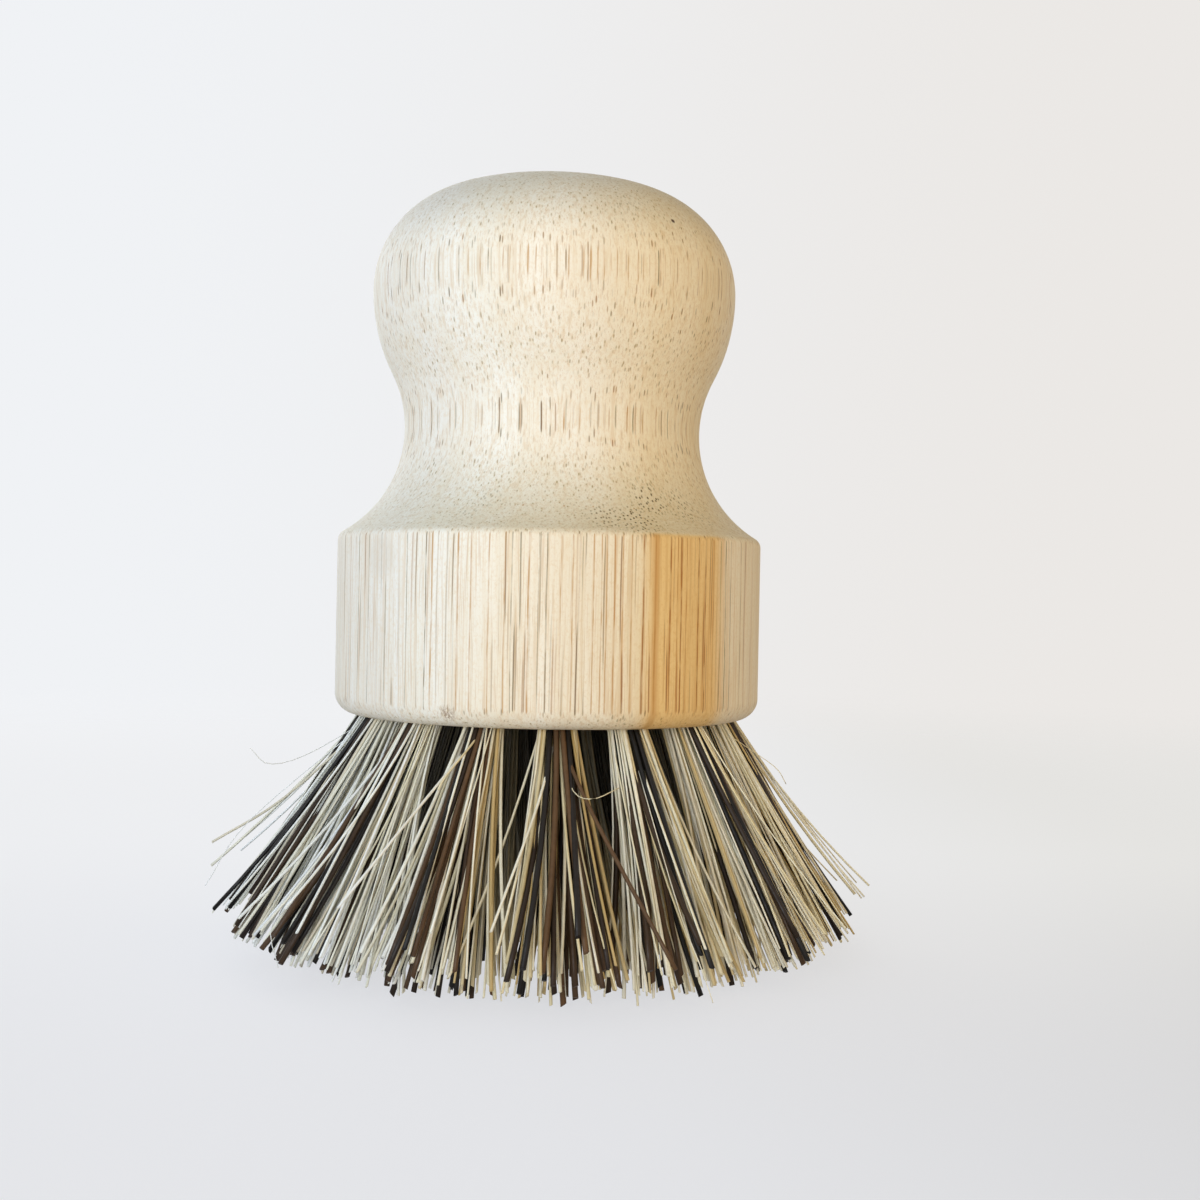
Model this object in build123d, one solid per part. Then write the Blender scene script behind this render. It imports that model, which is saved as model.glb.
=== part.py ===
from build123d import *
import math
import os

# A dish brush. Its handle is turned in one from a block of laminated bamboo: a collar, a hollow
# waist and a mushroom knob. Thirty holes in the collar's underside hold flared tufts of plant
# fibre, and each tuft is folded round a strip of metal that bites into the sides of its hole.
# The brush stands on the tips of its fibres with the knob up. Z is its axis, the origin lies on
# the surface under the tips, and -Y is the front. Lengths are in millimetres, angles in degrees.

# Turned handle: the knob is narrower than the collar by the setback, the neck than the knob
# by the waist's depth
collar_radius = 26.5
collar_height = 22.0
foot_rounding = 2.5
rim_rounding = 1.3
waist_hollow_radius = 15.2
waist_depth = 4.2
knob_setback = 3.75
neck_to_knob_rise = 17.2
crown_rise = 14.2
crown_radius = 47.5

# Lamination: the block is this much wider than the collar on each side, before it is turned
ply_count = 8
turning_allowance = 5.5
ply_turn = 35.0

# Tuft holes: the depth is a share of the hole's radius, and hole_wall is the wood between
# neighbours of a ring, where they come nearest
outer_count = 16
middle_count = 10
inner_count = 4
hole_depth_share = 3.9
hole_wall = 1.85
edge_wall = 0.3
drill_point_angle = 120.0
outer_tilt = 30.0
inner_tilt = 8.0
outer_turn = 5.0
middle_turn = 14.0
inner_turn = 40.0

# Anchor strips, one across each hole
anchor_thickness = 0.45
anchor_height = 1.8
anchor_bite = 0.35
fold_thickness = 1.4

# Fibres: each tuft's strands fan out from a root that fills its hole
strand_length = 29.0
trim_depth = 0.5
strand_count = 16
tuft_patterns = 2
root_clearance = 0.1
root_fill_share = 0.436
fine_strand_width = 0.5
coarse_strand_width = 0.75
coarse_every = 3
fan_angle = 8.5
strand_root_share = 1 / 3
unevenness_share = 0.03
unevenness_step = 5

# One overrun for every cut and every slab that has to pass right through
overrun = 3.0

golden_angle = 180 * (3 - math.sqrt(5))

# The handle's heights and radii that follow
face_height = strand_length - trim_depth
knob_radius = collar_radius - knob_setback
neck_radius = knob_radius - waist_depth
waist_axis_radius = neck_radius + waist_hollow_radius
waist_reach = waist_axis_radius - collar_radius
neck_height = collar_height + math.sqrt(waist_hollow_radius**2 - waist_reach**2)
knob_height = neck_height + neck_to_knob_rise
handle_height = knob_height + crown_rise
ply_thickness = 2 * (collar_radius + turning_allowance) / ply_count

# The holes are as wide as the outer ring has room for, from the collar's edge to the walls
# between the hole bottoms. A tilted hole's mouth is an oval, and its bottom lies further in
mouth_share = 1 / math.cos(math.radians(outer_tilt))
inset_share = hole_depth_share * math.sin(math.radians(outer_tilt))
pitch_share = math.sin(math.pi / outer_count)
mouth_reach = collar_radius - foot_rounding - edge_wall
hole_room = mouth_reach * pitch_share - hole_wall / 2
hole_radius = hole_room / (1 + (mouth_share + inset_share) * pitch_share)
hole_depth = hole_radius * hole_depth_share
plug_radius = hole_radius - root_clearance
strand_root_width = 2 * plug_radius * root_fill_share / math.sqrt(strand_count)
layout_radius = plug_radius - strand_root_width / math.sqrt(2)
anchor_width = 2 * (hole_radius + anchor_bite)

# Rings of tufts, by the radius of their hole mouths on the collar's underside. The bottoms of
# the inner ring's holes have the same wall between them
middle_tilt = (outer_tilt + inner_tilt) / 2
inner_bottom_radius = (hole_radius + hole_wall / 2) / math.sin(math.pi / inner_count)
inner_ring_radius = inner_bottom_radius + hole_depth * math.sin(math.radians(inner_tilt))
outer_ring_radius = mouth_reach - hole_radius * mouth_share
middle_ring_radius = (outer_ring_radius + inner_ring_radius) / 2
rings = {
    "outer": (outer_ring_radius, outer_tilt, outer_turn, outer_count),
    "middle": (middle_ring_radius, middle_tilt, middle_turn, middle_count),
    "inner": (inner_ring_radius, inner_tilt, inner_turn, inner_count),
}


def touch_point(centre, other_centre, distance):
    """The point at a distance from one centre, on the line towards another."""
    step = (Vector(*other_centre) - Vector(*centre)).normalized() * distance
    return (centre[0] + step.X, centre[1] + step.Y)


def bend(start, end, centre):
    """The arc from start to end round a centre, on the side that the two points lie."""
    middle = ((start[0] + end[0]) / 2, (start[1] + end[1]) / 2)
    radius = (Vector(*start) - Vector(*centre)).length
    return ThreePointArc(start, touch_point(centre, middle, radius), end)


def turned_handle():
    """The whole handle before lamination, with its underside at the height of the fibre roots."""
    rim_radius = collar_radius - rim_rounding
    rim_span = waist_hollow_radius + rim_rounding
    waist_centre = (waist_axis_radius, neck_height)
    rim_centre = (rim_radius, neck_height - math.sqrt(rim_span**2 - (waist_axis_radius - rim_radius) ** 2))
    arc_span = (waist_depth**2 + neck_to_knob_rise**2) / (2 * waist_depth)
    bulge_centre = (knob_radius - arc_span + waist_hollow_radius, knob_height)
    crown_drop = crown_radius - crown_rise
    shoulder_radius = (crown_radius**2 - knob_radius**2 - crown_drop**2) / (2 * (crown_radius - knob_radius))
    shoulder_centre = (knob_radius - shoulder_radius, knob_height)
    crown_centre = (0, handle_height - crown_radius)
    foot_centre = (collar_radius - foot_rounding, foot_rounding)

    foot_edge = (foot_centre[0], 0)
    collar_foot = (collar_radius, foot_rounding)
    collar_rim = (collar_radius, rim_centre[1])
    rim_end = touch_point(rim_centre, waist_centre, rim_rounding)
    waist_end = touch_point(waist_centre, bulge_centre, waist_hollow_radius)
    knob_edge = (knob_radius, knob_height)
    shoulder_end = touch_point(crown_centre, shoulder_centre, crown_radius)
    top = (0, handle_height)

    outline = [
        Line((0, 0), foot_edge),
        bend(foot_edge, collar_foot, foot_centre),
        Line(collar_foot, collar_rim),
        bend(collar_rim, rim_end, rim_centre),
        bend(rim_end, waist_end, waist_centre),
        bend(waist_end, knob_edge, bulge_centre),
        bend(knob_edge, shoulder_end, shoulder_centre),
        bend(shoulder_end, top, crown_centre),
        Line(top, (0, 0)),
    ]
    section = Plane.XZ * make_face(outline)
    return Pos(0, 0, face_height) * revolve(section, Axis.Z)


def tuft_seat(ring):
    """A plane at the front hole's mouth: its normal runs up the hole, its X axis along the ring."""
    radius, tilt, turn, count = rings[ring]
    lean = math.radians(tilt)
    mouth = Vector(0, -radius, face_height)
    return Plane(origin=mouth, x_dir=(1, 0, 0), z_dir=(0, math.sin(lean), math.cos(lean)))


def ring_turns(ring):
    """The turns about the brush's axis that carry the front seat to each place of a ring."""
    radius, tilt, turn, count = rings[ring]
    return [Rot(0, 0, turn + 360 * number / count) for number in range(count)]


def upright(seat, shape, height):
    """A shape that stands on its own base, put at a height up a hole."""
    return seat * Pos(0, 0, height) * shape


def drilled_hole(seat):
    """The cuts of one drilled hole, from below the collar to its drill point."""
    point_height = hole_radius / math.tan(math.radians(drill_point_angle / 2))
    base = (Align.CENTER, Align.CENTER, Align.MIN)
    shank = Cylinder(hole_radius, hole_depth + overrun, align=base)
    point = Cone(hole_radius, 0, point_height, align=base)
    return [upright(seat, shank, -overrun), upright(seat, point, hole_depth)]


def anchor_strip(seat):
    """One flat strip across a hole, above the fold of its tuft."""
    base = (Align.CENTER, Align.CENTER, Align.MAX)
    strip = Box(anchor_width, anchor_thickness, anchor_height, align=base)
    return upright(seat, strip, hole_depth - fold_thickness)


def strand(seat, twist, index):
    """One straight strand of square section, cut flat where it would pass the rest plane."""
    share = math.sqrt((index + 0.5) / strand_count)
    angle = math.radians(twist + golden_angle * index)
    side = Vector(math.cos(angle), math.sin(angle), 0) * share
    heading = (side * math.tan(math.radians(fan_angle)) + Vector(0, 0, -1)).normalized()
    short_share = unevenness_share * (index * unevenness_step % strand_count) / strand_count
    tip_width = fine_strand_width if index % coarse_every else coarse_strand_width

    mouth = side * layout_radius
    start = mouth - heading * (hole_depth * strand_root_share)
    end = mouth + heading * (strand_length * (1 - short_share))
    across = heading.cross(Vector(0, 1, 0)).normalized()
    beside = heading.cross(across)
    diagonals = [across + beside, across - beside, -across - beside, beside - across]
    roots = [seat.from_local_coords(start + way * (strand_root_width / 2)) for way in diagonals]
    tips = [seat.from_local_coords(end + way * (tip_width / 2)) for way in diagonals]
    if min(tip.Z for tip in tips) < 0:
        tips = [root + (tip - root) * (root.Z / (root.Z - tip.Z)) for root, tip in zip(roots, tips)]
    sections = [Wire.make_polygon(corners, close=True) for corners in (roots, tips)]
    return Solid.make_loft(sections, ruled=True)


def tuft(seat, twist):
    """A tuft: its root in the hole, slotted for the anchor and level with the wood, and its strands."""
    base = (Align.CENTER, Align.CENTER, Align.MIN)
    plug = upright(seat, Cylinder(plug_radius, hole_depth + overrun, align=base), -overrun)
    face = Plane.XY.offset(face_height)
    root = split(plug, bisect_by=face, keep=Keep.TOP) - anchor_strip(seat)
    strands = [strand(seat, twist, index) for index in range(strand_count)]
    return root.solid().fuse(*strands).solid()


def bamboo_plies():
    """The handle's plies, from front to back, drilled and pocketed for the tufts and anchors."""
    cuts = []
    for ring in rings:
        seat = tuft_seat(ring)
        for turn in ring_turns(ring):
            cuts += [turn * cut for cut in drilled_hole(seat)]
            cuts.append(turn * anchor_strip(seat))
    handle = turned_handle() - cuts
    width = 2 * (collar_radius + overrun)
    base = (Align.CENTER, Align.MIN, Align.MIN)
    slab = Box(width, ply_thickness, handle_height + 2 * overrun, align=base)
    plies = []
    for number in range(ply_count):
        depth = (number - ply_count / 2) * ply_thickness
        place = Rot(0, 0, ply_turn) * Pos(0, depth, face_height - overrun)
        plies.append((handle & place * slab).solid())
    return plies


def save(shape, name):
    """Write one node and print its name and volume."""
    export_step(shape, f"parts/{name}.step")
    print(f"{name}: {shape.volume:.1f} mm3")


os.makedirs("parts", exist_ok=True)
for number, ply in enumerate(bamboo_plies(), start=1):
    save(ply, f"bamboo_ply_{number}")
for ring in rings:
    seat = tuft_seat(ring)
    turns = ring_turns(ring)
    patterns = [tuft(seat, 180 * number / tuft_patterns) for number in range(tuft_patterns)]
    for number, turn in enumerate(turns):
        save(turn * patterns[number % tuft_patterns], f"{ring}_tuft_{number + 1:02d}")
    save(Compound([(turn * anchor_strip(seat)).solid() for turn in turns]), f"{ring}_anchors")
print(f"handle {handle_height:.2f} mm, over all {face_height + handle_height:.2f} mm")
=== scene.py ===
import math
import bpy
import numpy as np
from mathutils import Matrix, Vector

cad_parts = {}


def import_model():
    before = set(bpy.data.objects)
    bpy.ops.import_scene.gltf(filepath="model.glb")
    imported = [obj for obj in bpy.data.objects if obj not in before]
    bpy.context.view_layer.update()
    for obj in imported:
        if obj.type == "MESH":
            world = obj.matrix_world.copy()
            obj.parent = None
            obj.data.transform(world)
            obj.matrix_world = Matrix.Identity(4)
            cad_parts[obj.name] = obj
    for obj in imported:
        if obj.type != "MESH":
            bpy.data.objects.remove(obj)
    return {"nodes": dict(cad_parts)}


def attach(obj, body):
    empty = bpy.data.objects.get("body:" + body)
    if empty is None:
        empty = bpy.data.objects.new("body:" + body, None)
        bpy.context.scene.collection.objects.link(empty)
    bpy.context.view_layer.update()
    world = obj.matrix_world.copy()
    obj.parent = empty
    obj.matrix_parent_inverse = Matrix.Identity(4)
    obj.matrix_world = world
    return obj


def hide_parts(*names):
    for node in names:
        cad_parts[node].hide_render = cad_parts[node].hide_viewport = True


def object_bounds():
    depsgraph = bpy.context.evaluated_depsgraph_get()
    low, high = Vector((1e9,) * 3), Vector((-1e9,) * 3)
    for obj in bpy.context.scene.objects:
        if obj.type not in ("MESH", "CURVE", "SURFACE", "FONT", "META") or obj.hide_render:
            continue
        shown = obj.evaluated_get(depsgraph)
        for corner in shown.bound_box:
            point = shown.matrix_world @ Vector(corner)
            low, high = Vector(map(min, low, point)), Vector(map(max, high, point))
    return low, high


# A dish brush of laminated bamboo with flared tufts of plant fibre. The turned handle and the
# anchor strips are the fixed frame's own nodes with finished materials. Each tuft of the frame
# is replaced by its real fibres, which are folded round their strip in the hole.
# Lengths are in millimetres, but those of the stage are in metres. Angles are in degrees. Where a
# look fades in, two values are where it starts and where it is full, and the other two of four are
# how strong it is at each.

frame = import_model()
cad_low, cad_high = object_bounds()
mm = 0.001

# The brush's own sizes
strand_length = 29.0
trim_depth = 0.5
face_height = strand_length - trim_depth
hole_radius = 2.303
hole_depth = 8.98
anchor_thickness = 0.45
anchor_top = 7.58
anchor_bottom = 5.78
drill_point_angle = 120.0
# Rings of tufts: mouth radius, tilt, first turn and count
rings = {
    "outer": (21.04, 30.0, 5.0, 16),
    "middle": (13.43, 19.0, 14.0, 10),
    "inner": (5.82, 8.0, 40.0, 4),
}
ply_count = 8
ply_thickness = 8.0
ply_turn = 35.0

# The photograph's view
lens_length = 45.0
sensor_width = 36.0
camera_place = (6.45, -190.0, 42.95)
camera_roll = -1.14
photo_size = 1200


def rgb(red, green, blue):
    """A colour given as display values from 0 to 255, as the shader's own linear numbers."""
    shown = [value / 255 for value in (red, green, blue)]
    linear = [level / 12.92 if level <= 0.04045 else ((level + 0.055) / 1.055) ** 2.4 for level in shown]
    return (*linear, 1.0)


def metres(lengths):
    """Lengths in millimetres as metres."""
    return [length * mm for length in lengths]


# Folded fibres of one tuft. It has up to this many fewer dark ones on the right and on the left of
# the brush, up to this many more or fewer by chance, and this many light ones for each it lacks
light_pairs = 27
dark_pairs = {"outer": 12, "middle": 10, "inner": 10}
dark_pairs_cut = (7, 2)
dark_pairs_spread = 1
light_for_dark = 2
light_radius = (0.10, 0.24)
light_radius_bias = 1.5
dark_radius = (0.25, 0.35)
light_sides = 5
dark_sides = 6
# The flattest section of a fibre and the slant of its cut end, as shares of its radius
flattest_share = 0.72
tip_slant_share = 0.45

# Where the legs leave a hole, as shares of its radius: how far along the strip they spread, how far
# the dark ones do, how closely these lie round their own place and how far out that is. Then come
# the shares of the room beside the strip in which a leg lies. Legs that overlap are pushed apart
# in steps, and stay this share of their radius from the middle of the strip
legs_reach_share = 0.95
dark_reach_share = 0.9
dark_spread_share = 0.35
dark_centre_share = 0.6
leg_room_shares = (0.05, 0.95)
settle_steps = 60
settle_push_share = 0.4
strip_clear_share = 0.5

# Fibres outside the holes: their fan, and how far single ones stray from it
fan_angle = 8.8
lean_noise = 1.9
lean_limit = 4.0
stray_share = 0.1
stray_lean = 4.0
bend_noise = 1.3
late_fan_share = 0.25
length_extra = 0.6
length_noise = 0.7
length_limit = 2.0
# The tufts lean in by this much more on the right and on the left
gather_right = 5.0
gather_left = 2.5
# No fibre of the rings reaches further from the axis, or lower than this share of its radius. Each
# is trimmed to that in rounds
widest_reach = 41.6
tip_clear_share = 1.7
fit_rounds = 3
# Stations of a fibre outside its hole, from its tip to the mouth
outside_shares = (1.0, 0.86, 0.7, 0.54, 0.38, 0.22, 0.09, 0.0)
# The seeds of two rings' first tufts are this far apart
ring_seed_step = 100

# Fibres inside the holes: the depth at which they have closed in on the strip by half, how near
# they come to the wall, and the turns of the fold with its distance from the drill point
inside_depth = 2.9
wall_share = 0.98
fold_turns = (45, 90, 135)
fold_clear_share = 1.1

# Fibres that the photograph shows apart from the rest: the tuft's fibres, pixels on the way to
# the tip, the depth of each from the brush's axis, radius, whether it is dark, and tone
strays = (
    ("outer_fibres_16", ((404, 826), (338, 908)), (-31, -37), 0.17, False, 0.45),
    ("outer_fibres_01", ((538, 804), (491, 932)), (-30, -39), 0.16, False, 0.55),
    ("outer_fibres_01", ((592, 813), (676, 970)), (-31, -40), 0.24, True, 0.72),
    ("outer_fibres_01", ((571, 787), (592, 799), (619, 788)), (-28, -31, -29), 0.06, False, 0.3),
    ("outer_fibres_13", ((285, 797), (212, 842)), (-6, -8), 0.16, False, 0.1),
    ("outer_fibres_13", ((252, 818), (205, 886)), (-8, -12), 0.05, False, 0.5),
    ("outer_fibres_14", ((308, 880), (272, 925), (278, 968)), (-24, -28, -29), 0.05, False, 0.6),
    ("outer_fibres_02", ((676, 900), (700, 965), (713, 1003)), (-34, -39, -41), 0.06, False, 0.6),
    ("outer_fibres_13", ((312, 752), (270, 764), (250, 748)), (-8, -12, -14), 0.045, False, 0.6),
    ("outer_fibres_04", ((748, 748), (776, 768), (786, 784)), (-10, -13, -12), 0.045, False, 0.2),
    ("outer_fibres_16", ((472, 744), (446, 776), (438, 790)), (-24, -28, -29), 0.13, False, 0.2),
)
stray_stations = 16

# Tones of the fibres, between which each takes its own at random, and the tone of their roots,
# streaks and flecks
light_tones = [rgb(198, 170, 114), rgb(246, 237, 206), rgb(255, 255, 252), rgb(254, 254, 244),
               rgb(247, 240, 208)]
light_root = rgb(190, 168, 114)
light_roughness = 0.5
dark_tones = [rgb(10, 9, 8), rgb(24, 18, 13), rgb(52, 38, 27), rgb(106, 79, 54), rgb(16, 13, 11)]
dark_root = rgb(18, 14, 11)
dark_roughness = 0.46
# The flecks make a fibre smoother or rougher than that by up to this much
rough_reach = (0.3, 0.7)
rough_changes = (-0.08, 0.1)
# Painted light: from left to right the fibres lose their share of a tone of cool light and take on a tint of
# warm light
light_fibre_cool_lit = rgb(240, 245, 242)
dark_fibre_cool_lit = rgb(10, 13, 12)
cool_lit_share = 0.35
warm_lit_tint = rgb(252, 244, 225)
lit_tint_reach = (-24, -2)
# How much darker the fibres of each ring are near the wood, where little light reaches them, and
# the shares of a fibre's length between which that comes in
deep_tone = rgb(20, 16, 11)
root_shades = {"outer": 0.0, "middle": 0.8, "inner": 0.92}
root_shade_shares = (1.05, 0.3)
# Streaks along a fibre, which differ from fibre to fibre, and flecks on it: how often they come
# along each axis, the streaks' detail and roughness, and how much they bring of the root's tone
streak_rates = (5.0, 900.0)
streak_noise = (3.0, 0.6)
streak_range = (0.35, 0.75, 0.0, 0.35)
fleck_rates = (2.5, 2.5, 0.9)
fleck_range = (0.45, 0.8, 0.0, 0.2)
root_range = (0.25, 0.0, 0.0, 0.2)
fleck_depth = 0.006
fleck_strength = 0.5

# Bamboo. Each layer of bundles: spacing, bundle radius, pore radius, the shares of a ply's depth
# where it has gone and where it is full, and how strongly it shows
bundle_layers = (
    (0.62, 0.16, 0.090, -0.3, 0.6, 0.8),
    (0.94, 0.18, 0.095, 1.3, 0.40, 0.9),
    (1.80, 0.17, 0.100, -1.0, 0.0, 1.0),
)
bundle_tone_share = 0.55
bundle_unevenness = 0.85
# The shares of their radii within which a bundle and a pore show in full
bundle_core_share = 0.5
pore_core_share = 0.7
# Detail of the noise that changes slowly
slow_detail = 1.0
# The bundles fade in and out along the grain: how often, between which values, what is left of
# them from the sides to the cut ends, and how the chance of each bundle weakens it
fade_rates = (1.3, 1.3, 0.05)
fade_range = (0.25, 0.5)
least_range = (0.0, 0.6, 0.6, 0.1)
chance_range = (0.0, 1.1, 0.15, 1.0)
# Places of the photograph where the pores are dark and close together: pixel, reach and share.
# There the other layers are thinner
dense_layer = (0.56, 0.20, 0.125)
dense_chance_range = (0.0, 0.5, 0.55, 1.0)
dense_softness = 0.35
dense_cut = 0.7
dense_places = (
    ((638, 521), 3.8, 1.0),
    ((650, 500), 3.6, 0.95),
    ((608, 518), 3.4, 0.8),
    ((680, 508), 3.8, 0.7),
    ((702, 518), 2.8, 0.5),
    ((490, 497), 2.0, 0.5),
    ((466, 513), 2.0, 0.4),
    ((618, 717), 2.2, 0.5),
    ((624, 203), 3.0, 0.3),
)
# Noise in the wood: what it follows, how often it comes along each axis, which axes each ply
# shifts, detail and roughness
ply_seed = 7.3
wood_noises = {
    "broad": ("upright", (0.22, 0.22, 0.03), (1, 1, 0), 3.0, 0.5),
    "streak": ("grain", (2.4, 2.4, 0.03), (0, 1, 1), 3.0, 0.5),
    "fine": ("grain", (7.0, 7.0, 0.10), (1, 0, 1), 2.0, 0.6),
    "speckle": ("upright", (3.6, 3.6, 2.2), (0, 0, 0), 3.0, 0.7),
}
pale_wood = rgb(251, 247, 238)
shaded_wood = rgb(243, 234, 215)
streak_wood = rgb(237, 219, 190)
hairline = rgb(212, 178, 136)
# Washes over the pale wood: the noise, its start, its full value, the share and the tone
washes = (
    ("broad", 0.3, 0.7, 0.6, shaded_wood),
    ("streak", 0.4, 0.7, 0.35, streak_wood),
    ("streak", 0.57, 0.66, 0.2, hairline),
    ("fine", 0.54, 0.70, 0.5, hairline),
    ("speckle", 0.45, 0.7, 0.55, streak_wood),
)
side_bundle = rgb(230, 188, 140)
side_bundle_grey = rgb(220, 209, 186)
side_pore = rgb(158, 106, 62)
side_pore_grey = rgb(126, 106, 78)
end_bundle = rgb(228, 215, 187)
end_pore = rgb(190, 168, 132)
dark_pore = rgb(104, 88, 60)
# The grain wanders sideways by up to this much
drift_rates = (0.03, 0.03, 0.02)
drift_reach = (1.6, 1.6, 0)
# How far a surface faces up or down where lines turn into dots, and the same on the rounding of
# the collar's rim, which lies between these heights
end_rise = (0.08, 0.5)
rim_rise = (0.35, 0.8)
rim_low = (45.5, 46.5)
rim_high = (50.6, 49.9)
# One tint for each ply, from the front right to the back left. They blend near the glue lines
ply_tints = (
    rgb(250, 237, 214),
    rgb(254, 246, 231),
    rgb(255, 253, 247),
    rgb(252, 250, 246),
    rgb(255, 252, 246),
    rgb(252, 249, 241),
    rgb(255, 251, 243),
    rgb(251, 244, 230),
)
blend_low_shares = (0.45, 0.0)
blend_high_shares = (0.55, 1.0)
blend_share = 0.5
glue = rgb(226, 208, 174)
glue_range = (0.012, 0.003, 0.0, 0.2)
# The honey strip in the front right ply, with a golden streak: where it starts and ends along
# the ply's face. It fades where the wood faces up
honey = rgb(250, 230, 190)
honey_bundle = rgb(204, 148, 80)
honey_ply = 1
honey_start = (-5.6, -2.6)
honey_end = (8.6, 5.4)
honey_rise = (0.75, 0.35)
honey_streak = -3.8
honey_streak_range = (0.75, 0.1, 0.0, 0.65)
# Painted warm light: a column of the wood on the right is tinted warmer
warm_lit_wood = rgb(253, 247, 233)
warm_lit_start = (4, 13)
warm_lit_end = (22.5, 18)
# Painted shade: the wood is greyer where it faces up, most of all on the crown
shoulder_shade = rgb(229, 231, 228)
crown_shade = rgb(214, 216, 216)
crown_start = (76, 88)
shade_rise = (0.1, 0.9)
# Single bundles that the photograph shows in the wood: half width, share of the tone, tone, and
# their pixels across the collar, the knob and the waist
warm_line = rgb(200, 156, 104)
cool_line = rgb(146, 124, 92)
honey_line = rgb(172, 122, 62)
mark_rows = {"collar": 620, "knob": 258, "waist": 418}
marks = (
    (0.14, 0.9, warm_line, {
        "collar": (431, 457, 528, 614),
        "knob": (480, 528, 569, 591, 639),
        "waist": (564, 627, 656),
    }),
    (0.11, 0.75, warm_line, {
        "collar": (470, 488, 504, 560, 572, 593, 601, 606, 622, 631, 677, 686, 713),
        "knob": (468, 503, 510, 520, 536, 542, 584, 598, 605, 618, 629, 644, 656),
        "waist": (546, 580, 609, 643),
    }),
    (0.12, 0.85, cool_line, {
        "collar": (358, 425, 546, 725),
        "knob": (488,),
        "waist": (519, 633),
    }),
    (0.15, 0.9, honey_line, {
        "collar": (643, 655, 670, 681, 698, 705),
    }),
    (0.10, 0.65, cool_line, {
        "collar": (368, 385, 406, 511, 538, 720, 730, 740),
        "knob": (401, 411, 439, 459),
        "waist": (432, 438, 456, 495),
    }),
)
mark_softness = 0.35
# They waver to both sides of a noise's middle, and come and go along their length
noise_middle = (0.5, 0.5, 0.5)
waver_rate = 110.0
waver_reach = (0.25, 0.25, 0)
patch_rates = (0.9, 0.9, 0.3)
patch_range = (0.33, 0.6, 0.3, 1.0)
# A pit, a chip on the rim under the collar, and a small pale knot
pit_pixel = (673, 221)
pit_reach = 0.35
pit_softness = 0.4
pit_tone = rgb(84, 58, 38)
chip_pixel = (447, 714)
chip_reach = 1.5
chip_softness = 0.1
chip_range = (0.4, 0.6)
chip_tone = rgb(176, 150, 124)
knot_pixel = (381, 556)
knot_reach = 3.4
knot_softness = 0.4
knot_share = 0.35
knot_tone = rgb(222, 208, 186)
# The finish of the wood and its relief
wood_roughness = (0.3, 0.7, 0.48, 0.64)
grain_height = 0.3
wood_depth = 0.05
wood_strength = 0.6
gloss_level = 0.3

# Steel of the anchor strips, with rolling marks along them
steel_dull = rgb(168, 170, 172)
steel_bright = rgb(206, 207, 208)
steel_rates = (0.4, 0.4, 9.0)
steel_roughness = (0.3, 0.7, 0.3, 0.5)
steel_depth = 0.01
steel_strength = 0.4

# The stage, in metres. Light: the soft surround from left to right, and lamps as azimuth,
# elevation, distance, size, watts and colour
soft_left = (0.78, 0.96, 1.21, 1.0)
soft_right = (0.68, 0.54, 0.28, 1.0)
soft_turn = (-0.85, 0.65)
soft_strength = 0.56
lamps = {
    "key": (-17, 2, 0.7, 0.55, 3.65, (0.91, 1.0, 1.14)),
    "warm": (52, 5, 0.7, 0.45, 0.75, (1.0, 0.68, 0.30)),
    "back": (-155, 25, 0.8, 0.7, 1.6, (1.0, 1.0, 1.0)),
}
clip_start = 0.01
clip_end = 20
# The backdrop and the floor, which fades into it. Its glow is stronger where the camera sees it
backdrop_left = rgb(240, 242, 245)
backdrop_right = rgb(235, 232, 229)
backdrop_turn = (-0.35, 0.35)
floor_radius = 1.2
floor_corners = 96
floor_drop = 0.0001
floor_left = rgb(238, 239, 243)
floor_right = rgb(219, 218, 218)
floor_far_left = rgb(248, 249, 252)
floor_far_right = rgb(240, 239, 237)
floor_turn = (0.0, 0.12)
floor_near = (-0.08, 0.08)
floor_fade = (0.15, 0.55)
floor_shade = rgb(150, 150, 150)
floor_lift = 0.72
floor_glow = 0.33


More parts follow.
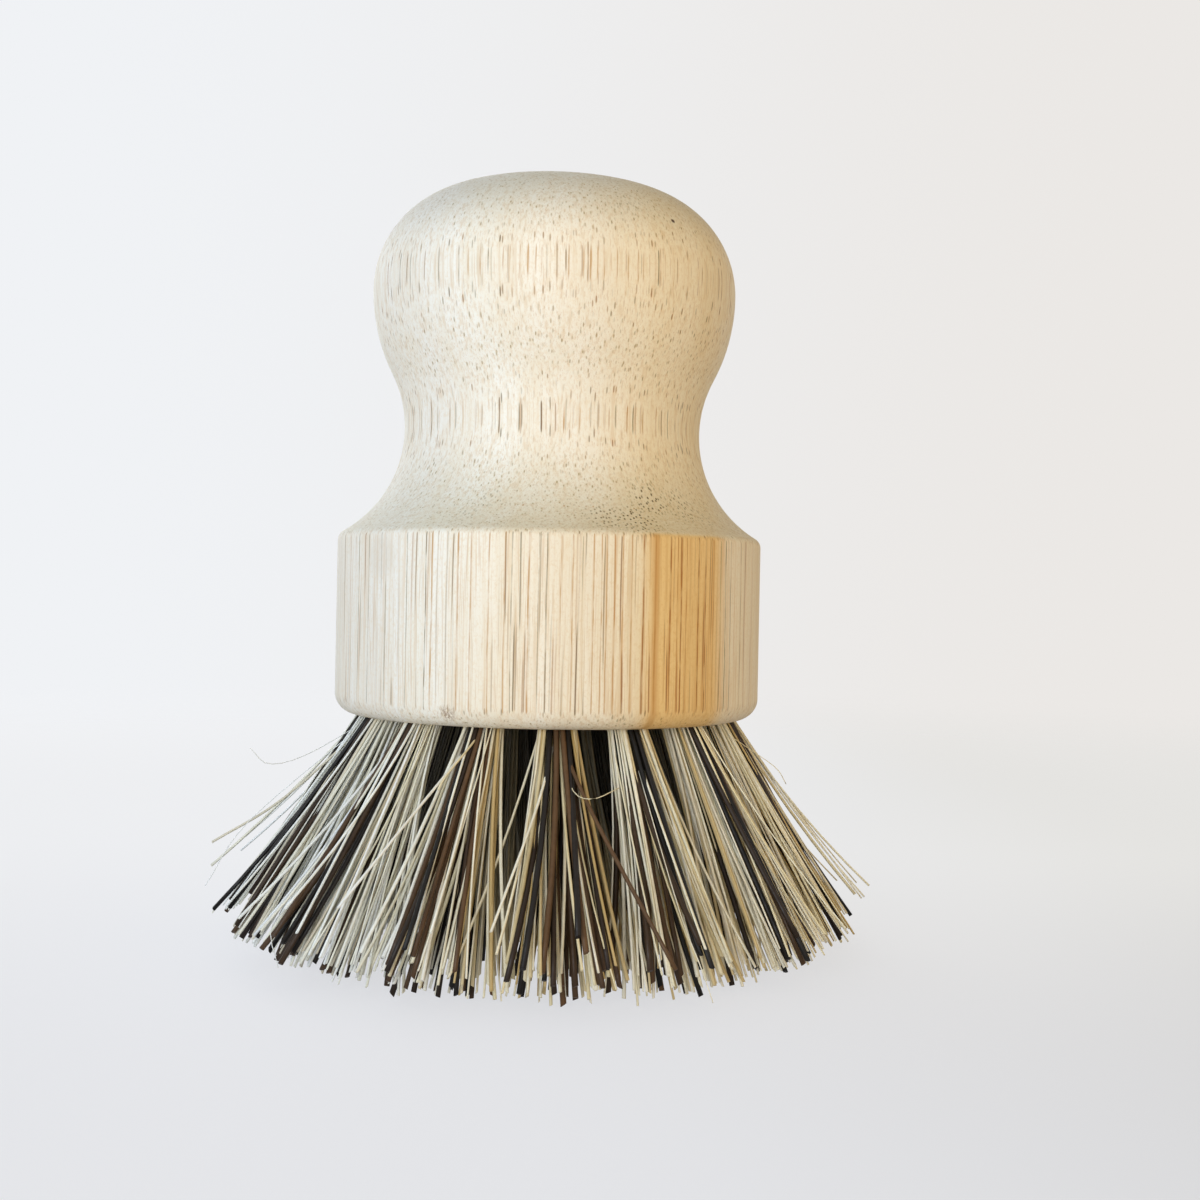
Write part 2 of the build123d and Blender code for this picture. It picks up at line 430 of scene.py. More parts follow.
class Graph:
    """The node tree of a material or of the world, built one node at a time."""

    def __init__(self, owner):
        self.owner = owner
        owner.use_nodes = True
        self.tree = owner.node_tree
        self.tree.nodes.clear()

    def feed(self, socket, value):
        """Link a socket to another, or set its value."""
        if isinstance(value, bpy.types.NodeSocket):
            self.tree.links.new(value, socket)
        else:
            socket.default_value = value

    def add(self, kind, inputs=None, **settings):
        """A node with its settings, and its inputs by name or number."""
        node = self.tree.nodes.new(kind)
        for name, value in settings.items():
            setattr(node, name, value)
        for name, value in (inputs or {}).items():
            self.feed(node.inputs[name], value)
        return node

    def calc(self, operation, *values):
        """The result of a Math node."""
        return self.add("ShaderNodeMath", dict(enumerate(values)), operation=operation).outputs[0]

    def times(self, *values):
        """The product of some values."""
        product = values[0]
        for value in values[1:]:
            product = self.calc("MULTIPLY", product, value)
        return product

    def vector(self, operation, first, second):
        """The vector that a Vector Math node gives."""
        return self.add("ShaderNodeVectorMath", {0: first, 1: second}, operation=operation).outputs["Vector"]

    def distance(self, first, second):
        """How far one place is from another."""
        return self.add("ShaderNodeVectorMath", {0: first, 1: second}, operation="DISTANCE").outputs["Value"]

    def parts(self, vector):
        """The three parts of a vector."""
        return list(self.add("ShaderNodeSeparateXYZ", {"Vector": vector}).outputs)

    def place(self):
        """The place on the object, in metres."""
        return self.add("ShaderNodeTexCoord").outputs["Object"]

    def attribute(self, name):
        """A value that each point of the mesh carries."""
        return self.add("ShaderNodeAttribute", attribute_name=name).outputs["Fac"]

    def ease(self, value, low, high, start=0.0, end=1.0):
        """A smooth step from start at low to end at high."""
        inputs = {"Value": value, "From Min": low, "From Max": high, "To Min": start, "To Max": end}
        return self.add("ShaderNodeMapRange", inputs, interpolation_type="SMOOTHSTEP").outputs["Result"]

    def mix(self, share, first, second, blend="MIX"):
        """Two colours or two values mixed."""
        node = self.add("ShaderNodeMix", data_type="RGBA", blend_type=blend)
        self.feed(node.inputs[0], share)
        self.feed(node.inputs[6], first)
        self.feed(node.inputs[7], second)
        return node.outputs[2]

    def tinted(self, share, colour, tint):
        """A colour multiplied by a tint, by a share."""
        return self.mix(share, colour, tint, "MULTIPLY")

    def scaled(self, vector, scale, location=(0, 0, 0)):
        """A vector stretched by a scale along each axis and then shifted."""
        inputs = {"Vector": vector, "Scale": scale, "Location": location}
        return self.add("ShaderNodeMapping", inputs).outputs["Vector"]

    def noise(self, vector, detail=2.0, roughness=0.5):
        """Noise from 0 to 1."""
        inputs = {"Vector": vector, "Scale": 1.0, "Detail": detail, "Roughness": roughness}
        return self.add("ShaderNodeTexNoise", inputs).outputs["Fac"]

    def noise_vector(self, vector, scale=1.0, detail=2.0):
        """Noise as a vector, each part of it from 0 to 1."""
        inputs = {"Vector": vector, "Scale": scale, "Detail": detail}
        return self.add("ShaderNodeTexNoise", inputs).outputs["Color"]

    def finish(self, inputs, height, depth, strength):
        """The surface shader, with a bump of a depth in millimetres."""
        bump = self.add("ShaderNodeBump", {"Height": height, "Distance": depth * mm, "Strength": strength})
        shader = self.add("ShaderNodeBsdfPrincipled", inputs | {"Normal": bump.outputs["Normal"]})
        output = self.add("ShaderNodeOutputMaterial")
        self.tree.links.new(shader.outputs[0], output.inputs["Surface"])
        return self.owner


class Bamboo(Graph):
    """The bamboo of one ply: upright bundles of fibres that every cut shows as lines or as dots."""

    def __init__(self, number):
        super().__init__(bpy.data.materials.new(f"bamboo_{number}"))
        self.number = number
        self.seed = ply_seed * number
        self.here = self.place()
        inputs = {"Vector": self.here, "Rotation": (0, 0, -math.radians(ply_turn)), "Scale": (1 / mm,) * 3}
        self.upright = self.add("ShaderNodeMapping", inputs).outputs["Vector"]
        wander = self.scaled(self.upright, drift_rates, (self.seed, 0, 0))
        self.drift = self.vector("MULTIPLY", self.noise_vector(wander, detail=slow_detail), drift_reach)
        self.grain = self.vector("ADD", self.upright, self.drift)
        self.along_face, self.into_wood, self.height = self.parts(self.upright)
        from_front = self.calc("ADD", self.into_wood, ply_count * ply_thickness / 2)
        self.depth = self.calc("FRACT", self.calc("DIVIDE", from_front, ply_thickness))
        normal = self.add("ShaderNodeNewGeometry").outputs["Normal"]
        self.rise = self.parts(normal)[2]
        self.end_share = self.end_mask()
        self.honey_share = self.honey_mask()
        self.dense_share = self.dense_mask()
        fields = {"upright": self.upright, "grain": self.grain}
        self.noises = {}
        for name, (field, rates, shifted, detail, roughness) in wood_noises.items():
            shift = [self.seed * part for part in shifted]
            self.noises[name] = self.noise(self.scaled(fields[field], rates, shift), detail, roughness)

    def end_mask(self):
        """A mask that is full where the wood is cut across, so that its bundles show as dots."""
        end_share = self.ease(self.calc("ABSOLUTE", self.rise), *end_rise)
        at_rim = self.times(self.ease(self.height, *rim_low), self.ease(self.height, *rim_high))
        return self.mix(at_rim, end_share, self.ease(self.rise, *rim_rise))

    def honey_mask(self):
        """A mask of the honey strip, which only its own ply has."""
        if self.number != honey_ply:
            return 0.0
        return self.times(self.ease(self.along_face, *honey_start), self.ease(self.along_face, *honey_end),
                          self.ease(self.rise, *honey_rise))

    def dense_mask(self):
        """A mask of the places where the pores are dark and close together."""
        dense = 0.0
        for pixel, reach, share in dense_places:
            dense = self.calc("MAXIMUM", dense, self.times(self.near(pixel, reach, dense_softness), share))
        return dense

    def near(self, pixel, reach, softness):
        """A mask that is full at the place seen at a pixel and gone at its reach."""
        far = self.distance(self.here, seen_point(pixel))
        return self.ease(far, reach * mm, softness * reach * mm)

    def bundles(self, spacing, bundle_radius, pore_radius):
        """One layer of fibre bundles: masks of the bundle and its pore, and two chances of the cell."""
        seed = self.seed + spacing
        cells = self.scaled(self.grain, (1 / spacing, 1 / spacing, 0), (seed, 2 * seed, 0))
        inputs = {"Vector": cells, "Scale": 1.0, "Randomness": bundle_unevenness}
        cell = self.add("ShaderNodeTexVoronoi", inputs, voronoi_dimensions="2D").outputs
        chances = self.add("ShaderNodeSeparateColor", {"Color": cell["Color"]}).outputs
        far = cell["Distance"]
        bundle = self.ease(far, bundle_radius / spacing, bundle_core_share * bundle_radius / spacing)
        pore = self.ease(far, pore_radius / spacing, pore_core_share * pore_radius / spacing)
        return bundle, pore, chances["Red"], chances["Green"]

    def with_bundles(self, colour, relief):
        """The colour and the relief with every layer of bundles drawn on them."""
        across = self.calc("SUBTRACT", 1.0, self.depth) if self.number % 2 else self.depth
        least = self.ease(self.end_share, *least_range)
        sparse = self.calc("MULTIPLY_ADD", self.dense_share, -dense_cut, 1.0)
        for spacing, bundle_radius, pore_radius, empty_at, full_at, strength in bundle_layers:
            *layer, chance, other = self.bundles(spacing, bundle_radius, pore_radius)
            fade = self.noise(self.scaled(self.grain, fade_rates, (self.seed, spacing, 0)), slow_detail)
            shown = self.times(self.ease(across, empty_at, full_at), sparse)
            shown = self.times(shown, self.ease(fade, *fade_range, least, strength))
            shown = self.times(shown, self.ease(chance, *chance_range))
            colour, relief = self.drawn(colour, relief, layer, other, shown)
        *layer, chance, other = self.bundles(*dense_layer)
        shown = self.times(self.dense_share, self.ease(chance, *dense_chance_range))
        return self.drawn(colour, relief, layer, other, shown)

    def drawn(self, colour, relief, layer, other, shown):
        """The colour and the relief with one layer drawn on them, as strongly as it is shown."""
        bundle, pore = layer
        side_tone = self.mix(self.honey_share, self.mix(other, side_bundle, side_bundle_grey), honey_bundle)
        tone = self.mix(self.end_share, side_tone, end_bundle)
        pore_tone = self.mix(self.end_share, self.mix(other, side_pore, side_pore_grey), end_pore)
        pore_tone = self.mix(self.dense_share, pore_tone, dark_pore)
        colour = self.mix(self.times(bundle, shown, bundle_tone_share), colour, tone)
        deep = self.times(pore, shown)
        return self.mix(deep, colour, pore_tone), self.calc("SUBTRACT", relief, deep)

    def with_marks(self, colour):
        """The colour with the single bundles that the photograph shows."""
        waver = self.vector("SUBTRACT", self.noise_vector(self.here, waver_rate), noise_middle)
        flat = self.vector("MULTIPLY", self.here, (1 / mm,) * 3)
        flat = self.vector("ADD", flat, self.scaled(waver, waver_reach))
        flat = self.vector("MULTIPLY", flat, (1, 1, 0))
        patchy = self.ease(self.noise(self.scaled(self.upright, patch_rates)), *patch_range)
        for half_width, share, tone, places in marks:
            points = [seen_point((column, mark_rows[part])) for part, columns in places.items()
                      for column in columns]
            for point in points:
                if ply_of(point) == self.number:
                    far = self.distance(flat, (point.x / mm, point.y / mm, 0))
                    line = self.ease(far, half_width, mark_softness * half_width)
                    colour = self.mix(self.times(line, share, patchy), colour, tone)
        return colour

    def with_tints(self, colour):
        """The colour with its ply's tint, its glue lines, painted warm light on the right, the honey strip
        and painted shade on the top.
        """
        edge = self.calc("MINIMUM", self.depth, self.calc("SUBTRACT", 1.0, self.depth))
        colour = self.mix(self.ease(edge, *glue_range), colour, glue)
        own = ply_tints[self.number - 1]
        before = ply_tints[max(self.number - 2, 0)]
        after = ply_tints[min(self.number, ply_count - 1)]
        tint = self.mix(self.ease(self.depth, *blend_low_shares, 0.0, blend_share), own, before)
        tint = self.mix(self.ease(self.depth, *blend_high_shares, 0.0, blend_share), tint, after)
        colour = self.tinted(1.0, colour, tint)
        # Painted warm light in a column on the right of the wood
        sideways = self.parts(self.here)[0]
        from_left = self.ease(sideways, *metres(warm_lit_start))
        warm_lit_share = self.times(from_left, self.ease(sideways, *metres(warm_lit_end)))
        colour = self.mix(warm_lit_share, colour, self.tinted(1.0, colour, warm_lit_wood))
        colour = self.tinted(self.honey_share, colour, honey)
        if self.number == honey_ply:
            centre = self.calc("ADD", honey_streak, self.parts(self.drift)[0])
            beside = self.calc("ABSOLUTE", self.calc("SUBTRACT", self.along_face, centre))
            golden = self.times(self.ease(beside, *honey_streak_range), self.ease(self.rise, *honey_rise))
            colour = self.mix(golden, colour, honey_bundle)
        # Painted shade where the wood faces up, greyer on the crown
        upper = self.mix(self.ease(self.height, *crown_start), shoulder_shade, crown_shade)
        return self.tinted(self.ease(self.rise, *shade_rise), colour, upper)

    def with_blemishes(self, colour, relief):
        """The colour and the relief with the knot, the chip and the pit."""
        speckle = self.noises["speckle"]
        knot = self.times(self.near(knot_pixel, knot_reach, knot_softness), knot_share)
        chip = self.near(chip_pixel, chip_reach, chip_softness)
        pit = self.near(pit_pixel, pit_reach, pit_softness)
        colour = self.mix(knot, colour, knot_tone)
        colour = self.mix(self.times(chip, self.ease(speckle, *chip_range)), colour, chip_tone)
        colour = self.mix(pit, colour, pit_tone)
        return colour, self.calc("SUBTRACT", relief, self.calc("ADD", pit, self.times(chip, speckle)))

    def material(self):
        """The finished material."""
        colour = pale_wood
        for name, low, high, share, tone in washes:
            colour = self.mix(self.ease(self.noises[name], low, high, 0.0, share), colour, tone)
        relief = self.times(self.noises["fine"], grain_height)
        colour, relief = self.with_bundles(colour, relief)
        colour = self.with_tints(self.with_marks(colour))
        colour, relief = self.with_blemishes(colour, relief)
        rough = self.ease(self.noises["streak"], *wood_roughness)
        inputs = {"Base Color": colour, "Roughness": rough, "Specular IOR Level": gloss_level}
        return self.finish(inputs, relief, wood_depth, wood_strength)


def anchor_metal():
    """Plain steel strip with rolling marks."""
    graph = Graph(bpy.data.materials.new("anchor_metal"))
    rolled = graph.noise(graph.scaled(graph.place(), [rate / mm for rate in steel_rates]))
    colour = graph.mix(rolled, steel_dull, steel_bright)
    inputs = {"Base Color": colour, "Roughness": graph.ease(rolled, *steel_roughness), "Metallic": 1.0}
    return graph.finish(inputs, rolled, steel_depth, steel_strength)


def fibre(name, tones, root_tone, cool_lit_tone, roughness):
    """Plant fibre: its tone differs from fibre to fibre, with streaks along each, painted cool light on the
    left, painted warm light on the right and painted shade near the wood.
    """
    graph = Graph(bpy.data.materials.new(name))
    own = graph.attribute("tone")
    along = graph.attribute("along")
    ramp = graph.add("ShaderNodeValToRGB", {"Fac": own})
    points = ramp.color_ramp.elements
    while len(points) < len(tones):
        points.new(0.5)
    for index, tone in enumerate(tones):
        points[index].position = index / (len(tones) - 1)
        points[index].color = tone
    along_rate, own_rate = streak_rates
    inputs = {"X": graph.times(along, along_rate), "Y": graph.times(own, own_rate)}
    track = graph.add("ShaderNodeCombineXYZ", inputs).outputs[0]
    place = graph.place()
    streak = graph.noise(track, *streak_noise)
    fleck = graph.noise(graph.scaled(place, [rate / mm for rate in fleck_rates]))
    colour = graph.mix(graph.ease(streak, *streak_range), ramp.outputs["Color"], root_tone)
    colour = graph.mix(graph.ease(fleck, *fleck_range), colour, root_tone)
    colour = graph.mix(graph.ease(along, *root_range), colour, root_tone)
    # Painted cool light on the left of the brush and painted warm light on the right
    sideways = graph.parts(place)[0]
    reach = metres(lit_tint_reach)
    colour = graph.mix(graph.ease(sideways, *reach, cool_lit_share, 0.0), colour, cool_lit_tone)
    colour = graph.mix(graph.ease(sideways, *reach), colour, graph.tinted(1.0, colour, warm_lit_tint))
    shade = graph.times(graph.attribute("shade"), graph.ease(along, *root_shade_shares))
    colour = graph.mix(shade, colour, deep_tone)
    rough = graph.ease(fleck, *rough_reach, *[roughness + change for change in rough_changes])
    inputs = {"Base Color": colour, "Roughness": rough, "Specular IOR Level": gloss_level}
    return graph.finish(inputs, fleck, fleck_depth, fleck_strength)


def tuft_radii(ring, eastward, rng):
    """The radii of a tuft's folded fibres, the light ones first, and which of them are dark."""
    usual_count = dark_pairs[ring]
    right_cut, left_cut = dark_pairs_cut
    dark_count = usual_count + rng.integers(-dark_pairs_spread, dark_pairs_spread + 1)
    dark_count -= round(max(right_cut * eastward, -left_cut * eastward))
    light_count = light_pairs + light_for_dark * (usual_count - dark_count)
    finest, coarsest = light_radius
    light_radii = finest + (coarsest - finest) * rng.random(light_count) ** light_radius_bias
    radii = np.concatenate([light_radii, rng.uniform(*dark_radius, dark_count)])
    return radii, np.arange(len(radii)) >= light_count


def packed_legs(radii, is_dark, rng):
    """Where the legs of folded fibres leave a hole, a pair on either side of its strip."""
    count = len(radii)
    dark_centre = rng.uniform(-dark_centre_share, dark_centre_share)
    across = rng.uniform(-legs_reach_share, legs_reach_share, count)
    gathered = rng.normal(dark_centre, dark_spread_share, is_dark.sum())
    across[is_dark] = np.clip(gathered, -dark_reach_share, dark_reach_share)
    room = np.sqrt(1 - across**2)
    upper = np.stack([across, room * rng.uniform(*leg_room_shares, count)], 1)
    lower = np.stack([across, -room * rng.uniform(*leg_room_shares, count)], 1)
    legs = np.concatenate([upper, lower]) * hole_radius
    sizes = np.tile(radii, 2)
    side = np.repeat([1.0, -1.0], count)
    for _ in range(settle_steps):
        gap = legs[:, None] - legs[None]
        far = np.sqrt((gap**2).sum(2)) + np.eye(2 * count)
        press = np.clip(sizes[:, None] + sizes[None] - far, 0, None) * (1 - np.eye(2 * count))
        legs += settle_push_share * (gap / far[..., None] * press[..., None]).sum(1)
        legs[:, 1] = side * np.clip(side * legs[:, 1], strip_clear_share * sizes, None)
        reach = np.sqrt((legs**2).sum(1))
        legs *= np.minimum(1, (hole_radius - sizes) / reach)[:, None]
    return legs[:count], legs[count:]


def outer_path(legs, lengths, leans, bends):
    """Points of each leg outside its hole, from its tip to the mouth, in the seat's frame."""
    shares = np.array(outside_shares)
    along = lengths[:, None] * shares
    heading = np.concatenate([leans, -np.ones((len(legs), 1))], 1)
    heading /= np.linalg.norm(heading, axis=1, keepdims=True)
    points = heading[:, None] * along[..., None]
    points[..., :2] *= (1 - late_fan_share + late_fan_share * shares)[None, :, None]
    points[..., :2] += bends[:, None] * (shares**2)[None, :, None]
    points[..., :2] += legs[:, None]
    return points


def inner_path(legs, radii, side):
    """Points of each leg inside its hole, from the mouth to the top of the strip."""
    clear = anchor_thickness / 2 + radii
    widest = np.sqrt((hole_radius - radii) ** 2 - clear**2) * wall_share
    across = np.clip(legs[:, 0], -widest, widest)
    deepest = np.sqrt((hole_radius - radii) ** 2 - across**2)
    beside = clear + np.clip(np.abs(legs[:, 1]) / deepest, 0, 1) * (deepest - clear)
    pinched = np.stack([across, side * beside], 1)
    half_way = (legs + pinched) / 2
    heights = (inside_depth, anchor_bottom, anchor_top)
    stops = [half_way, pinched, pinched]
    return np.stack([np.c_[stop, np.full(len(stop), height)] for stop, height in zip(stops, heights)], 1)


def fold_path(start, end, radii):
    """Points of each fibre's fold above the strip."""
    middle = (start + end) / 2
    half = (start - end) / 2
    point_slope = math.tan(math.radians(drill_point_angle / 2))
    ceiling = hole_depth + (hole_radius - np.abs(middle[:, 0])) / point_slope
    rise = np.minimum(np.abs(half[:, 1]), ceiling - anchor_top - fold_clear_share * radii)
    stops = []
    for angle in fold_turns:
        turn = math.radians(angle)
        stop = middle + half * math.cos(turn)
        stop[:, 2] += rise * math.sin(turn)
        stops.append(stop)
    return np.stack(stops, 1)


def seat_matrix(radius, tilt, azimuth):
    """The turn and the place of a tuft's seat: its own Z runs up the hole, its X along the ring."""
    lean = math.radians(tilt)
    seat = np.array([[1, 0, 0], [0, math.cos(lean), -math.sin(lean)], [0, math.sin(lean), math.cos(lean)]]).T
    turn = math.radians(azimuth)
    spin = np.array([[math.cos(turn), -math.sin(turn), 0], [math.sin(turn), math.cos(turn), 0], [0, 0, 1]])
    return spin @ seat, spin @ np.array([0, -radius, face_height])


def leg_paths(legs, radii, is_dark, side, seat, eastward, rng):
    """Each fibre's leg on one side of the strip, from its tip to the top of the strip."""
    turn, mouth = seat
    count = len(radii)
    mouth_radius = math.hypot(*mouth[:2])
    leans = legs / hole_radius * math.tan(math.radians(fan_angle))
    leans += np.radians(np.clip(rng.normal(0, lean_noise, (count, 2)), -lean_limit, lean_limit))
    leans[:, 1] += math.radians(max(gather_right * eastward, -gather_left * eastward))
    astray = (rng.random(count) < stray_share) & ~is_dark
    leans[astray] += np.radians(rng.normal(0, stray_lean, (astray.sum(), 2)))
    bends = rng.normal(0, bend_noise, (count, 2))
    unevenness = np.clip(rng.normal(0, length_noise, count), -length_limit, length_limit)
    lengths = strand_length + length_extra + unevenness
    for _ in range(fit_rounds):
        tips = outer_path(legs, lengths, leans, bends)[:, 0] @ turn.T + mouth
        lowest = tip_clear_share * radii
        low = tips[:, 2] < lowest
        lengths = np.where(low, lengths * (face_height - lowest) / (face_height - tips[:, 2]), lengths)
        reach = np.hypot(tips[:, 0], tips[:, 1])
        wide = reach > widest_reach
        lengths = np.where(wide, lengths * (widest_reach - mouth_radius) / (reach - mouth_radius), lengths)
    return np.concatenate([outer_path(legs, lengths, leans, bends), inner_path(legs, radii, side)], 1)


def smooth_line(corners, count):
    """Points evenly spread by parameter on a smooth line through the corners."""
    padded = np.array([2 * corners[0] - corners[1], *corners, 2 * corners[-1] - corners[-2]])
    points = []
    for place in np.linspace(0, len(corners) - 1, count):
        span = min(int(place), len(corners) - 2)
        share = place - span
        before, start, end, after = padded[span:span + 4]
        points.append(0.5 * (2 * start + (end - before) * share
                             + (2 * before - 5 * start + 4 * end - after) * share**2
                             + (3 * start - before - 3 * end + after) * share**3))
    return np.array(points)


def stray_path(pixels, depths, seat):
    """A stray's line: from inside its hole, out of the mouth, then past its pixels to its tip."""
    turn, mouth = seat
    seen = []
    for pixel, depth in zip(pixels, depths):
        start, way = sight_line(pixel)
        seen.append(np.array(start + way * ((depth * mm - start.y) / way.y)) / mm)
    return smooth_line([mouth + inside_depth * turn[:, 2], mouth, *seen], stray_stations)


def tubes(paths, radii, sides, rng):
    """Closed tubes along paths of one length: their points, sides and end caps."""
    count, stations = paths.shape[:2]
    tangent = np.gradient(paths, axis=1)
    tangent /= np.linalg.norm(tangent, axis=2, keepdims=True)
    side_way = np.array([1.0, 0.0, 0.0]) - tangent * tangent[..., :1]
    side_way /= np.linalg.norm(side_way, axis=2, keepdims=True)
    other_way = np.cross(tangent, side_way)
    phase = rng.uniform(0, 2 * math.pi, count)[:, None] + np.arange(sides) * 2 * math.pi / sides
    flat = rng.uniform(flattest_share, 1.0, count)[:, None]
    ring = radii[:, None, None, None] * (
        np.cos(phase)[:, None, :, None] * side_way[:, :, None]
        + (flat * np.sin(phase))[:, None, :, None] * other_way[:, :, None]
    )
    points = paths[:, :, None] + ring
    for end, sign in ((0, -1.0), (-1, 1.0)):
        slant = rng.normal(0, tip_slant_share, (count, 1)) * np.cos(phase) * radii[:, None]
        points[:, end] += sign * tangent[:, end, None] * slant[..., None]
    index = np.arange(count * stations * sides).reshape(count, stations, sides)
    turned = np.roll(index, -1, axis=2)
    quads = np.stack([index[:, :-1], turned[:, :-1], turned[:, 1:], index[:, 1:]], -1).reshape(-1, 4)
    caps = np.concatenate([index[:, 0, ::-1], index[:, -1]])
    return points.reshape(-1, 3), quads, caps


class Tuft:
    """The points, faces and values of a tuft's mesh, gathered while its fibres are made."""

    def __init__(self, shade):
        self.shade = shade
        self.count = 0
        self.points = []
        self.faces = []
        self.kinds = []
        self.tones = []
        self.alongs = []

    def add(self, paths, radii, is_dark, tones, along, rng, seat=(np.eye(3), np.zeros(3))):
        """Closed fibres of one kind along paths in a seat's frame, or in the brush's own."""
        turn, mouth = seat
        sides = dark_sides if is_dark else light_sides
        points, quads, caps = tubes(paths, radii, sides, rng)
        self.points.append(points @ turn.T + mouth)
        self.faces += (quads + self.count).tolist() + (caps + self.count).tolist()
        self.kinds += [int(is_dark)] * (len(quads) + len(caps))
        self.tones.append(np.repeat(tones, len(along) * sides))
        self.alongs.append(np.tile(np.repeat(along, sides), len(paths)))
        self.count += len(points)

    def piece(self, name, materials):
        """The tuft as an object of the scene."""
        mesh = bpy.data.meshes.new(name)
        mesh.from_pydata((np.concatenate(self.points) * mm).tolist(), [], self.faces)
        mesh.polygons.foreach_set("material_index", self.kinds)
        mesh.polygons.foreach_set("use_smooth", [len(face) == 4 for face in self.faces])
        shades = [np.full(self.count, self.shade)]
        for label, values in (("tone", self.tones), ("along", self.alongs), ("shade", shades)):
            attribute = mesh.attributes.new(label, "FLOAT", "POINT")
            attribute.data.foreach_set("value", np.concatenate(values).astype(np.float32))
        for material in materials:
            mesh.materials.append(material)
        mesh.update()
        piece = bpy.data.objects.new(name, mesh)
        bpy.context.scene.collection.objects.link(piece)
        return piece


def tuft(name, ring, azimuth, materials, seed):
    """One tuft of folded fibres in its hole, with its strays, as one mesh."""
    rng = np.random.default_rng(seed)
    radius, tilt = rings[ring][:2]
    seat = seat_matrix(radius, tilt, azimuth)
    eastward = math.sin(math.radians(azimuth))
    radii, is_dark = tuft_radii(ring, eastward, rng)
    legs = packed_legs(radii, is_dark, rng)
    upper, lower = [leg_paths(places, radii, is_dark, side, seat, eastward, rng)
                    for side, places in zip((1.0, -1.0), legs)]
    fold = fold_path(upper[:, -1], lower[:, -1], radii)
    paths = np.concatenate([upper, fold, lower[:, ::-1]], 1)
    hidden_count = paths.shape[1] - 2 * len(outside_shares)
    along = np.array([*outside_shares, *[0.0] * hidden_count, *outside_shares[::-1]])
    tones = rng.random(len(radii))
    made = Tuft(root_shades[ring])
    for kind, chosen in ((False, ~is_dark), (True, is_dark)):
        made.add(paths[chosen], radii[chosen], kind, tones[chosen], along, rng, seat)
    for tuft_name, pixels, depths, stray_radius, kind, tone in strays:
        if tuft_name == name:
            line = stray_path(pixels, depths, seat)
            along = np.linspace(0, 1, stray_stations)
            made.add(line[None], np.array([stray_radius]), kind, [tone], along, rng)
    return made.piece(name, materials)


def tufts():
    """Every tuft of every ring, each in place of its frame node."""
    light = fibre("light_fibre", light_tones, light_root, light_fibre_cool_lit, light_roughness)
    dark = fibre("dark_fibre", dark_tones, dark_root, dark_fibre_cool_lit, dark_roughness)
    for ring_number, (ring, sizes) in enumerate(rings.items()):
        first_turn, count = sizes[2:]
        for number in range(count):
            node = f"{ring}_tuft_{number + 1:02d}"
            azimuth = first_turn + 360 * number / count
            piece = tuft(f"{ring}_fibres_{number + 1:02d}", ring, azimuth, (light, dark),
                         seed=ring_seed_step * ring_number + number)
            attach(piece, "root")
            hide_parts(node)


def sight_line(pixel):
    """Where the photograph's camera stands, in metres, and its way through a pixel."""
    across, down = [(value - photo_size / 2) / photo_size * sensor_width / lens_length for value in pixel]
    eye = bpy.context.scene.camera
    way = eye.matrix_world.to_3x3() @ Vector((across, -down, -1.0))
    return eye.matrix_world.translation, way.normalized()


def seen_point(pixel):
    """The point of the handle that the photograph shows at a pixel, in metres."""
    start, way = sight_line(pixel)
    plies = [frame["nodes"][f"bamboo_ply_{number}"] for number in range(1, ply_count + 1)]
    casts = [ply.ray_cast(start, way) for ply in plies]
    return min((place for found, place, normal, face in casts if found), key=lambda place: place.y)


def ply_of(point):
    """The number of the ply that a point of the frame lies in."""
    turn = math.radians(ply_turn)
    depth = (point.y * math.cos(turn) - point.x * math.sin(turn)) / mm
    return 1 + math.floor(depth / ply_thickness + ply_count / 2)


def dress(node, material):
    """Give a node of the frame its finished material."""
    mesh = frame["nodes"][node].data
    mesh.materials.clear()
    mesh.materials.append(material)


def handle():
    """The plies and the anchor strips get their materials."""
    for number in range(1, ply_count + 1):
        dress(f"bamboo_ply_{number}", Bamboo(number).material())
    steel = anchor_metal()
    for ring in rings:
        dress(f"{ring}_anchors", steel)


def camera():
    """The camera at the photograph's place."""
    data = bpy.data.cameras.new("camera")
    data.lens = lens_length
    data.sensor_width = sensor_width
    data.clip_start = clip_start
    data.clip_end = clip_end
    eye = bpy.data.objects.new("camera", data)
    eye.location = Vector(camera_place) * mm
    eye.rotation_euler = (math.radians(90), math.radians(camera_roll), 0)
    bpy.context.scene.collection.objects.link(eye)
    bpy.context.scene.camera = eye
    bpy.context.view_layer.update()


def lamp(name, azimuth, elevation, distance, size, power, colour):
    """A large soft lamp that looks at the brush. Azimuth 0 is the front, 90 the right."""
    data = bpy.data.lights.new(name, "AREA")
    data.shape = "DISK"
    data.size = size
    data.energy = power
    data.color = colour
    light = bpy.data.objects.new(name, data)
    turn = math.radians(azimuth)
    lift = math.radians(elevation)
    way = Vector((math.sin(turn) * math.cos(lift), -math.cos(turn) * math.cos(lift), math.sin(lift)))
    target = (cad_low + cad_high) / 2
    light.location = target + way * distance
    light.rotation_euler = way.to_track_quat("Z", "Y").to_euler()
    bpy.context.scene.collection.objects.link(light)


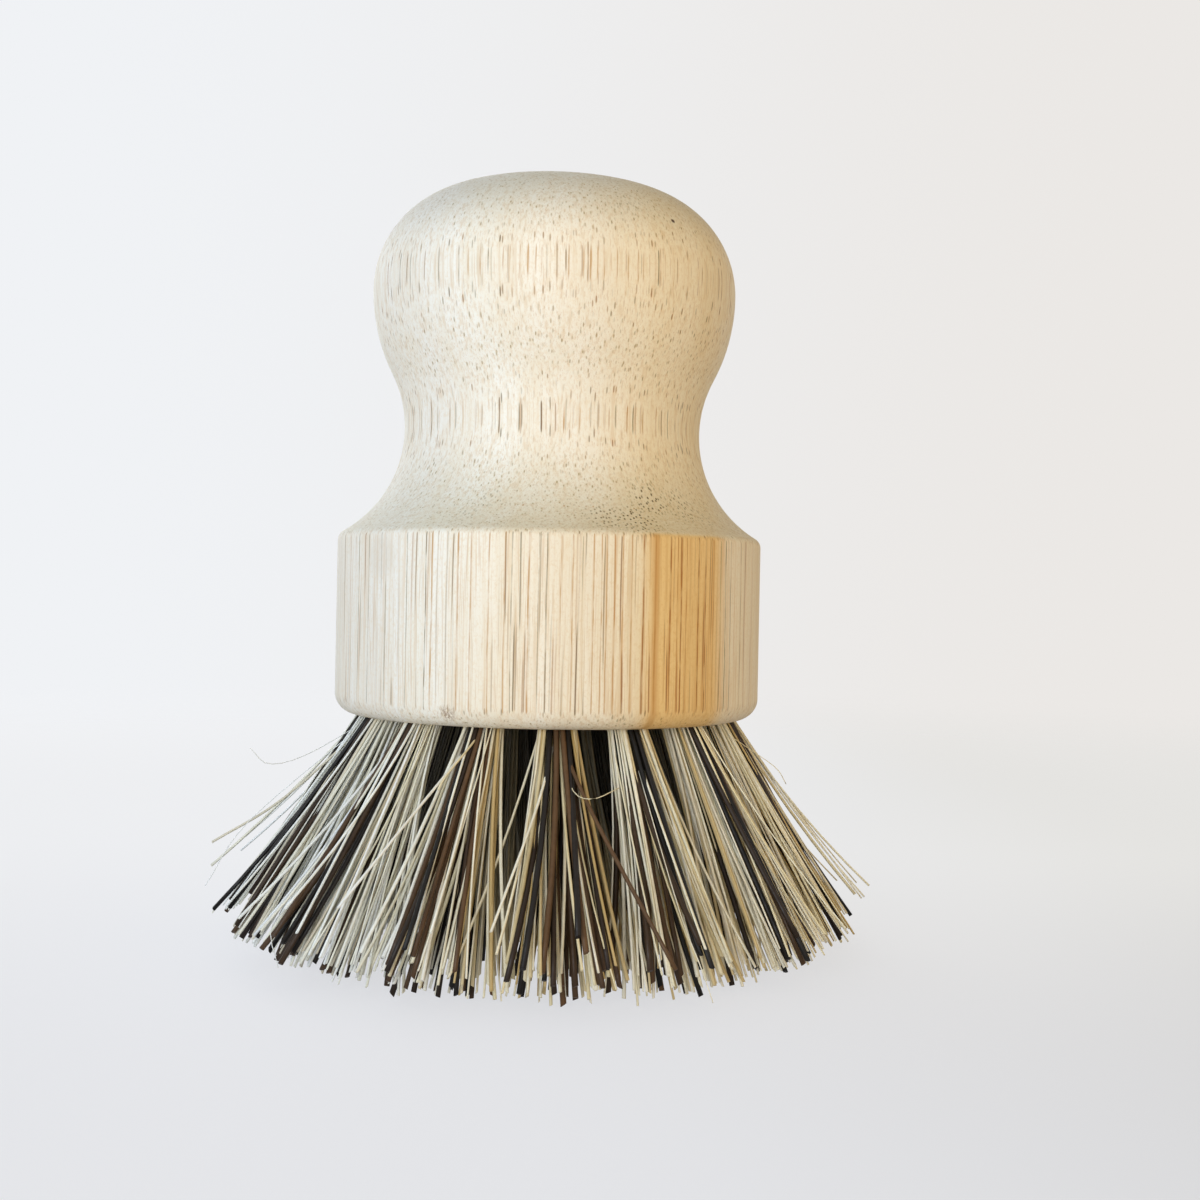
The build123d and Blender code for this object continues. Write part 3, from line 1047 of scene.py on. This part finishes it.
def world():
    """Soft light, cooler from the left and warmer from the right, and the pale backdrop."""
    made = bpy.data.worlds.new("world")
    bpy.context.scene.world = made
    graph = Graph(made)
    way = graph.add("ShaderNodeTexCoord").outputs["Generated"]
    right = graph.parts(way)[0]
    backdrop = graph.mix(graph.ease(right, *backdrop_turn), backdrop_left, backdrop_right)
    soft = graph.mix(graph.ease(right, *soft_turn), soft_left, soft_right)
    path = graph.add("ShaderNodeLightPath").outputs
    straight = graph.calc("MAXIMUM", path["Is Camera Ray"], path["Is Glossy Ray"])
    straight = graph.calc("MAXIMUM", straight, path["Is Transmission Ray"])
    seen = graph.add("ShaderNodeBackground", {"Color": backdrop}).outputs[0]
    light = graph.add("ShaderNodeBackground", {"Color": soft, "Strength": soft_strength}).outputs[0]
    both = graph.add("ShaderNodeMixShader", {0: straight, 1: light, 2: seen}).outputs[0]
    graph.add("ShaderNodeOutputWorld", {"Surface": both})


def floor():
    """A pale floor under the fibre tips, which fades into the backdrop."""
    bpy.ops.mesh.primitive_circle_add(vertices=floor_corners, radius=floor_radius, fill_type="NGON",
                                      location=(0, 0, -floor_drop))
    ground = bpy.context.object
    ground.name = "floor"
    graph = Graph(bpy.data.materials.new("floor"))
    place = graph.place()
    below = graph.add("ShaderNodeNewGeometry").outputs["Backfacing"]
    gone = graph.calc("MAXIMUM", graph.ease(graph.distance(place, (0, 0, 0)), *floor_fade), below)
    seen = graph.add("ShaderNodeLightPath").outputs["Is Camera Ray"]
    sideways, back = graph.parts(place)[:2]
    rightward = graph.ease(sideways, *floor_turn)
    near_tone = graph.mix(rightward, floor_left, floor_right)
    far_tone = graph.mix(rightward, floor_far_left, floor_far_right)
    tone = graph.mix(graph.ease(back, *floor_near), near_tone, far_tone)
    paper = graph.add("ShaderNodeBsdfDiffuse", {"Color": graph.tinted(1.0, tone, floor_shade)}).outputs[0]
    lift = graph.calc("MULTIPLY_ADD", seen, floor_lift - floor_glow, floor_glow)
    glow = graph.add("ShaderNodeEmission", {"Color": tone, "Strength": lift}).outputs[0]
    lit = graph.add("ShaderNodeAddShader", {0: paper, 1: glow}).outputs[0]
    clear = graph.add("ShaderNodeBsdfTransparent").outputs[0]
    both = graph.add("ShaderNodeMixShader", {0: gone, 1: lit, 2: clear}).outputs[0]
    graph.add("ShaderNodeOutputMaterial", {"Surface": both})
    ground.data.materials.append(graph.owner)


camera()
world()
floor()
for name, settings in lamps.items():
    lamp(name, *settings)
handle()
tufts()

bpy.context.scene.view_settings.view_transform = "Standard"
